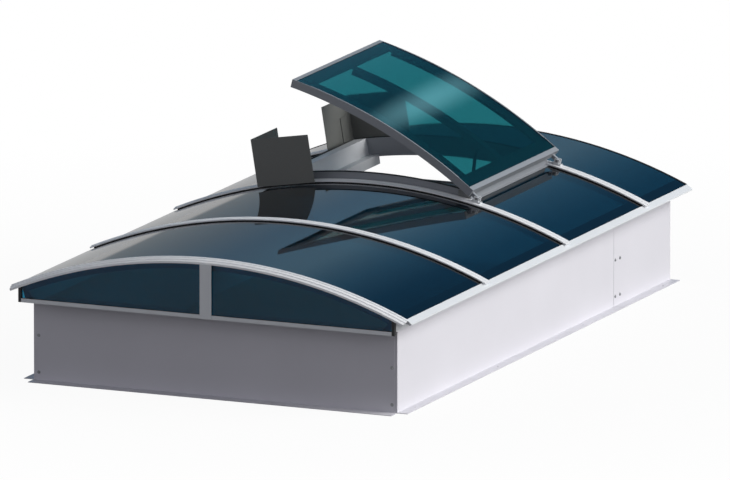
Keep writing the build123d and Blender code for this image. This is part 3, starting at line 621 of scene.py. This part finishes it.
class ROOFLIGHT_OT_gable(bpy.types.Operator):
    """Finish the gable arch, sill, mullion and panes"""
    bl_idname = "rooflight.gable"
    bl_label = "Gable"

    def execute(self, context):
        dress("extruded_aluminium_arched", "gable_arch_cap", "gable_arch_base")
        dress("extruded_aluminium_straight", "gable_sill")
        dress("extruded_aluminium_upright", "gable_mullion")
        dress("extruded_epdm_rubber", "gable_seals")
        dress("tinted_acrylic_gable_glazing", "gable_pane_left", "gable_pane_right")
        return {"FINISHED"}


class ROOFLIGHT_OT_glazing(bpy.types.Operator):
    """Bend the glazing sheets of the bays about the vault axis"""
    bl_idname = "rooflight.glazing"
    bl_label = "Glazing bays"

    def execute(self, context):
        full = (-EDGE_ANGLE, EDGE_ANGLE)
        spans = {"glazing_bay_1": full, "glazing_bay_2": full,
                 "glazing_bay_3_left": (-EDGE_ANGLE, -STRIP_ANGLE),
                 "glazing_bay_3_right": (STRIP_ANGLE, EDGE_ANGLE), "glazing_bay_4": full}
        for node, (start, end) in spans.items():
            piece = curved_sheet(node, "tinted_acrylic_bay_glazing", GLASS_INNER, GLASS, start, end)
            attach(piece, "rooflight")
            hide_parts(node)
        return {"FINISHED"}


class ROOFLIGHT_OT_vent(bpy.types.Operator):
    """Finish the vent upstand, its seals and the hinges"""
    bl_idname = "rooflight.vent"
    bl_label = "Vent upstand"

    def execute(self, context):
        dress("mill_finish_aluminium_arched", "vent_side_near", "vent_side_far")
        dress("mill_finish_aluminium_straight", "vent_trimmer_hinge")
        dress("extruded_aluminium_straight", "vent_trimmer_closing", "vent_beam_hinge", "vent_beam_closing",
              "hinge_brackets")
        dress("extruded_epdm_rubber", "vent_seals")
        dress("zinc_plated_steel", "hinge_pins")
        return {"FINISHED"}


class ROOFLIGHT_OT_flap(bpy.types.Operator):
    """Finish the flap and bend its glazing"""
    bl_idname = "rooflight.flap"
    bl_label = "Vent flap"

    def execute(self, context):
        dress("mill_finish_aluminium_arched", "flap_rail_near", "flap_rail_far", "flap_rib")
        dress("mill_finish_aluminium_straight", "flap_rail_hinge", "flap_rail_closing", "flap_lugs")
        # The glazing tape parts the sheet from its rails, which then show through the whole tint
        piece = curved_sheet("flap_glazing", "tinted_acrylic_flap_glazing", FLAP_GLASS_INNER + TAPE,
                             GLASS - TAPE, -FLAP_PANE_ANGLE, FLAP_PANE_ANGLE)
        hinge = Matrix.Translation(HINGE)
        piece.data.transform(hinge @ Matrix.Rotation(FLAP_OPEN, 4, "Y") @ hinge.inverted())
        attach(piece, "flap")
        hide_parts("flap_glazing")
        return {"FINISHED"}


class ROOFLIGHT_OT_opener(bpy.types.Operator):
    """Finish the spindle drive and its traverse"""
    bl_idname = "rooflight.opener"
    bl_label = "Opener"

    def execute(self, context):
        dress("zinc_plated_steel", "opener_traverse", "opener_rod", "opener_clevis", "opener_clevis_pin")
        dress("coated_drive_case", "opener_case")
        return {"FINISHED"}


class ROOFLIGHT_OT_deflectors(bpy.types.Operator):
    """Coat the wind deflectors and their straps"""
    bl_idname = "rooflight.deflectors"
    bl_label = "Wind deflectors"

    def execute(self, context):
        dress("powder_coated_anthracite_sheet", "deflector_near", "deflector_far", "deflector_straps")
        return {"FINISHED"}


class ROOFLIGHT_OT_stage(bpy.types.Operator):
    """Set the floor, the light and the camera"""
    bl_idname = "rooflight.stage"
    bl_label = "Studio"

    def execute(self, context):
        stage = context.scene.rooflight_stage
        self.lay_floor(context, stage)
        self.light_room(context, stage)
        self.hang_softbox(context, stage)
        self.set_camera(context)
        context.scene.view_settings.view_transform = "Standard"
        return {"FINISHED"}

    def lay_floor(self, context, stage):
        """A pale floor: white to the eye round the object, with its shadow, and in shade inside the kerb."""
        turns = [2 * pi * side / FLOOR_SIDES for side in range(FLOOR_SIDES)]
        ring = [(stage.floor_radius * cos(turn), stage.floor_radius * sin(turn), -FLOOR_DROP)
                for turn in turns]
        mesh = bpy.data.meshes.new("studio_floor")
        mesh.from_pydata(ring, [], [list(range(FLOOR_SIDES))])
        floor = bpy.data.objects.new("studio_floor", mesh)
        context.scene.collection.objects.link(floor)
        material, tree = empty_material("pale_studio_floor")
        place = add(tree, "ShaderNodeTexCoord").outputs["Object"]
        # Share of plain white: less near the object, where its shadow lies, and none inside the kerb
        far = add(tree, "ShaderNodeVectorMath", {"operation": "LENGTH"}, {0: place})
        white_share = add(tree, "ShaderNodeMapRange", inputs={
            "Value": far.outputs["Value"], "From Min": FLOOR_NEAR, "From Max": FLOOR_FAR,
            "To Min": stage.floor_white, "To Max": 1.0})
        low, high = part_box("kerb_side_left_front")[0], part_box("kerb_side_right_rear")[1]
        middle = add(tree, "ShaderNodeVectorMath", {"operation": "SUBTRACT"}, {0: place, 1: (low + high) / 2})
        apart = add(tree, "ShaderNodeVectorMath", {"operation": "ABSOLUTE"}, {0: middle.outputs["Vector"]})
        spread = add(tree, "ShaderNodeSeparateXYZ", inputs={"Vector": apart.outputs["Vector"]})
        beyond_side = add(tree, "ShaderNodeMath", {"operation": "GREATER_THAN"},
                          {0: spread.outputs["X"], 1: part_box("kerb_end_front")[1].x})
        beyond_end = add(tree, "ShaderNodeMath", {"operation": "GREATER_THAN"},
                         {0: spread.outputs["Y"], 1: (high.y - low.y) / 2})
        outside = add(tree, "ShaderNodeMath", {"operation": "MAXIMUM"},
                      {0: beyond_side.outputs["Value"], 1: beyond_end.outputs["Value"]})
        path = add(tree, "ShaderNodeLightPath")
        straight = add(tree, "ShaderNodeMath", {"operation": "MAXIMUM"},
                       {0: path.outputs["Is Camera Ray"], 1: path.outputs["Is Transmission Ray"]})
        seen = add(tree, "ShaderNodeMath", {"operation": "MULTIPLY_ADD"},
                   {0: path.outputs["Is Glossy Ray"], 1: stage.floor_gloss, 2: straight.outputs["Value"]})
        shown = add(tree, "ShaderNodeMath", {"operation": "MULTIPLY"},
                    {0: seen.outputs["Value"], 1: white_share.outputs["Result"]})
        factor = add(tree, "ShaderNodeMath", {"operation": "MULTIPLY"},
                     {0: shown.outputs["Value"], 1: outside.outputs["Value"]})
        paint = add(tree, "ShaderNodeMix", {"data_type": "RGBA"}, {
            "Factor": path.outputs["Is Diffuse Ray"], "A": stage.floor_colour, "B": stage.floor_bounce})
        matt = add(tree, "ShaderNodeBsdfDiffuse", inputs={"Color": paint.outputs["Result"]})
        white = add(tree, "ShaderNodeEmission", inputs={"Color": linear(WHITE), "Strength": 1.0})
        mix = add(tree, "ShaderNodeMixShader", inputs={
            "Fac": factor.outputs["Value"], 1: matt.outputs["BSDF"], 2: white.outputs["Emission"]})
        add(tree, "ShaderNodeOutputMaterial", inputs={"Surface": mix.outputs["Shader"]})
        mesh.materials.append(material)

    def light_room(self, context, stage):
        """A soft key from above the hinge side, in a room that is pale low down and darker overhead."""
        lamp = bpy.data.lights.new("soft_key", "SUN")
        lamp.energy = stage.key
        lamp.angle = KEY_SPREAD
        lamp.color = linear(KEY_COLOUR)[:3]
        key = bpy.data.objects.new("soft_key", lamp)
        key.rotation_euler = Vector(stage.key_way).to_track_quat("Z", "Y").to_euler()
        context.scene.collection.objects.link(key)
        world = bpy.data.worlds.new("studio_room")
        world.use_nodes = True
        context.scene.world = world
        tree = world.node_tree
        tree.nodes.clear()
        way = add(tree, "ShaderNodeTexCoord")
        height = add(tree, "ShaderNodeSeparateXYZ", inputs={"Vector": way.outputs["Generated"]})
        level = add(tree, "ShaderNodeMapRange", inputs={
            "Value": height.outputs["Z"], "From Min": -1.0, "From Max": 1.0})
        back = add(tree, "ShaderNodeMapRange", {"interpolation_type": "SMOOTHSTEP"}, {
            "Value": height.outputs["Y"], "From Min": 0.0, "From Max": BACK_BLEND})
        tones = []
        for stops in (FRONT_TONES, BACK_TONES):
            ramp = add(tree, "ShaderNodeValToRGB", inputs={"Fac": level.outputs["Result"]})
            while len(ramp.color_ramp.elements) < len(stops):
                ramp.color_ramp.elements.new(1.0)
            for element, (rise, code) in zip(ramp.color_ramp.elements, stops):
                element.position = (sin(radians(rise)) + 1) / 2
                element.color = linear(code)
            tones.append(ramp.outputs["Color"])
        tone = add(tree, "ShaderNodeMix", {"data_type": "RGBA"}, {
            "Factor": back.outputs["Result"], "A": tones[0], "B": tones[1]})
        room = add(tree, "ShaderNodeBackground", inputs={"Color": tone.outputs["Result"]})
        white = add(tree, "ShaderNodeBackground", inputs={"Color": linear(WHITE)})
        path = add(tree, "ShaderNodeLightPath")
        # White straight on and through glass; reflections and matt surfaces see the room
        straight = add(tree, "ShaderNodeMath", {"operation": "MAXIMUM"},
                       {0: path.outputs["Is Camera Ray"], 1: path.outputs["Is Transmission Ray"]})
        mix = add(tree, "ShaderNodeMixShader", inputs={
            "Fac": straight.outputs["Value"], 1: room.outputs["Background"],
            2: white.outputs["Background"]})
        add(tree, "ShaderNodeOutputWorld", inputs={"Surface": mix.outputs["Shader"]})

    def hang_softbox(self, context, stage):
        """A soft box high behind the object, brightest in its middle: the flap mirrors it as a streak."""
        aim = SOFTBOX_WAY.normalized()
        along = (Vector((0, 1, 0)) - aim * aim.y).normalized() * SOFTBOX_LENGTH / 2
        across = aim.cross(along).normalized() * SOFTBOX_WIDTH / 2
        centre = STREAK + aim * SOFTBOX_DISTANCE
        corners = ((-1, -1), (1, -1), (1, 1), (-1, 1))
        mesh = bpy.data.meshes.new("soft_box")
        mesh.from_pydata([centre + across * u + along * v for u, v in corners], [], [(0, 1, 2, 3)])
        spread = mesh.uv_layers.new(name="spread")
        for loop, corner in zip(spread.data, corners):
            loop.uv = corner
        material, tree = empty_material("soft_box_cloth")
        place = add(tree, "ShaderNodeUVMap", {"uv_map": "spread"})
        rim = add(tree, "ShaderNodeVectorMath", {"operation": "LENGTH"}, {0: place.outputs["UV"]})
        fade = add(tree, "ShaderNodeMapRange", {"interpolation_type": "SMOOTHSTEP"}, {
            "Value": rim.outputs["Value"], "From Min": 1.0, "From Max": 0.0, "To Max": stage.softbox})
        glow = add(tree, "ShaderNodeEmission", inputs={
            "Color": linear(SOFTBOX_COLOUR), "Strength": fade.outputs["Result"]})
        # Clear besides its glow, so that its rim hides nothing of the room
        clear = add(tree, "ShaderNodeBsdfTransparent")
        veil = add(tree, "ShaderNodeAddShader", inputs={
            0: clear.outputs["BSDF"], 1: glow.outputs["Emission"]})
        add(tree, "ShaderNodeOutputMaterial", inputs={"Surface": veil.outputs["Shader"]})
        mesh.materials.append(material)
        box = bpy.data.objects.new("soft_box", mesh)
        box.visible_camera = box.visible_diffuse = False
        box.visible_transmission = box.visible_shadow = False
        context.scene.collection.objects.link(box)
        # It falls on the flap's glazing alone, so that the fixed bays show no streak
        lit = bpy.data.collections.new("soft_box_falls_on")
        lit.objects.link(bpy.data.objects["flap_glazing_sheet"])
        box.light_linking.receiver_collection = lit

    def set_camera(self, context):
        """The photograph's view, through a very long lens."""
        back = Vector((sin(VIEW_AZIMUTH) * cos(VIEW_ELEVATION),
                       -cos(VIEW_AZIMUTH) * cos(VIEW_ELEVATION), sin(VIEW_ELEVATION)))
        lens = bpy.data.cameras.new("photograph_view")
        lens.sensor_width = VIEW_SENSOR
        lens.lens = VIEW_LENS
        lens.clip_start, lens.clip_end = VIEW_CLIP
        camera = bpy.data.objects.new("photograph_view", lens)
        camera.location = VIEW_TARGET + back * VIEW_DISTANCE
        camera.rotation_euler = back.to_track_quat("Z", "Y").to_euler()
        context.scene.collection.objects.link(camera)
        context.scene.camera = camera


OPERATORS = (ROOFLIGHT_OT_kerb, ROOFLIGHT_OT_screws, ROOFLIGHT_OT_fixings, ROOFLIGHT_OT_eaves,
             ROOFLIGHT_OT_rafters, ROOFLIGHT_OT_gable, ROOFLIGHT_OT_glazing, ROOFLIGHT_OT_vent,
             ROOFLIGHT_OT_flap, ROOFLIGHT_OT_opener, ROOFLIGHT_OT_deflectors, ROOFLIGHT_OT_stage)


class ROOFLIGHT_PT_panel(bpy.types.Panel):
    """Lists the pieces of the rooflight and what can be changed"""
    bl_idname = "ROOFLIGHT_PT_panel"
    bl_label = "Continuous rooflight"
    bl_space_type = "VIEW_3D"
    bl_region_type = "UI"
    bl_category = "Rooflight"

    def draw(self, context):
        for owner in GROUPS:
            group = getattr(context.scene, owner)
            box = self.layout.box()
            for name in group.__annotations__:
                box.prop(group, name)
        for operator in OPERATORS:
            self.layout.operator(operator.bl_idname)


GROUPS = {"rooflight_colours": RooflightColours, "rooflight_sizes": RooflightSizes,
          "rooflight_stage": RooflightStage}


def register():
    for name, group in GROUPS.items():
        bpy.utils.register_class(group)
        setattr(bpy.types.Scene, name, PointerProperty(type=group))
    for item in (*OPERATORS, ROOFLIGHT_PT_panel):
        bpy.utils.register_class(item)


def unregister():
    for item in reversed((*OPERATORS, ROOFLIGHT_PT_panel)):
        bpy.utils.unregister_class(item)
    for name, group in GROUPS.items():
        delattr(bpy.types.Scene, name)
        bpy.utils.unregister_class(group)


def main():
    """Dress the frame piece by piece, then set the stage."""
    register()
    for operator in OPERATORS:
        module, name = operator.bl_idname.split(".")
        getattr(getattr(bpy.ops, module), name)()
    bpy.context.view_layer.update()


if __name__ == "__main__":
    main()
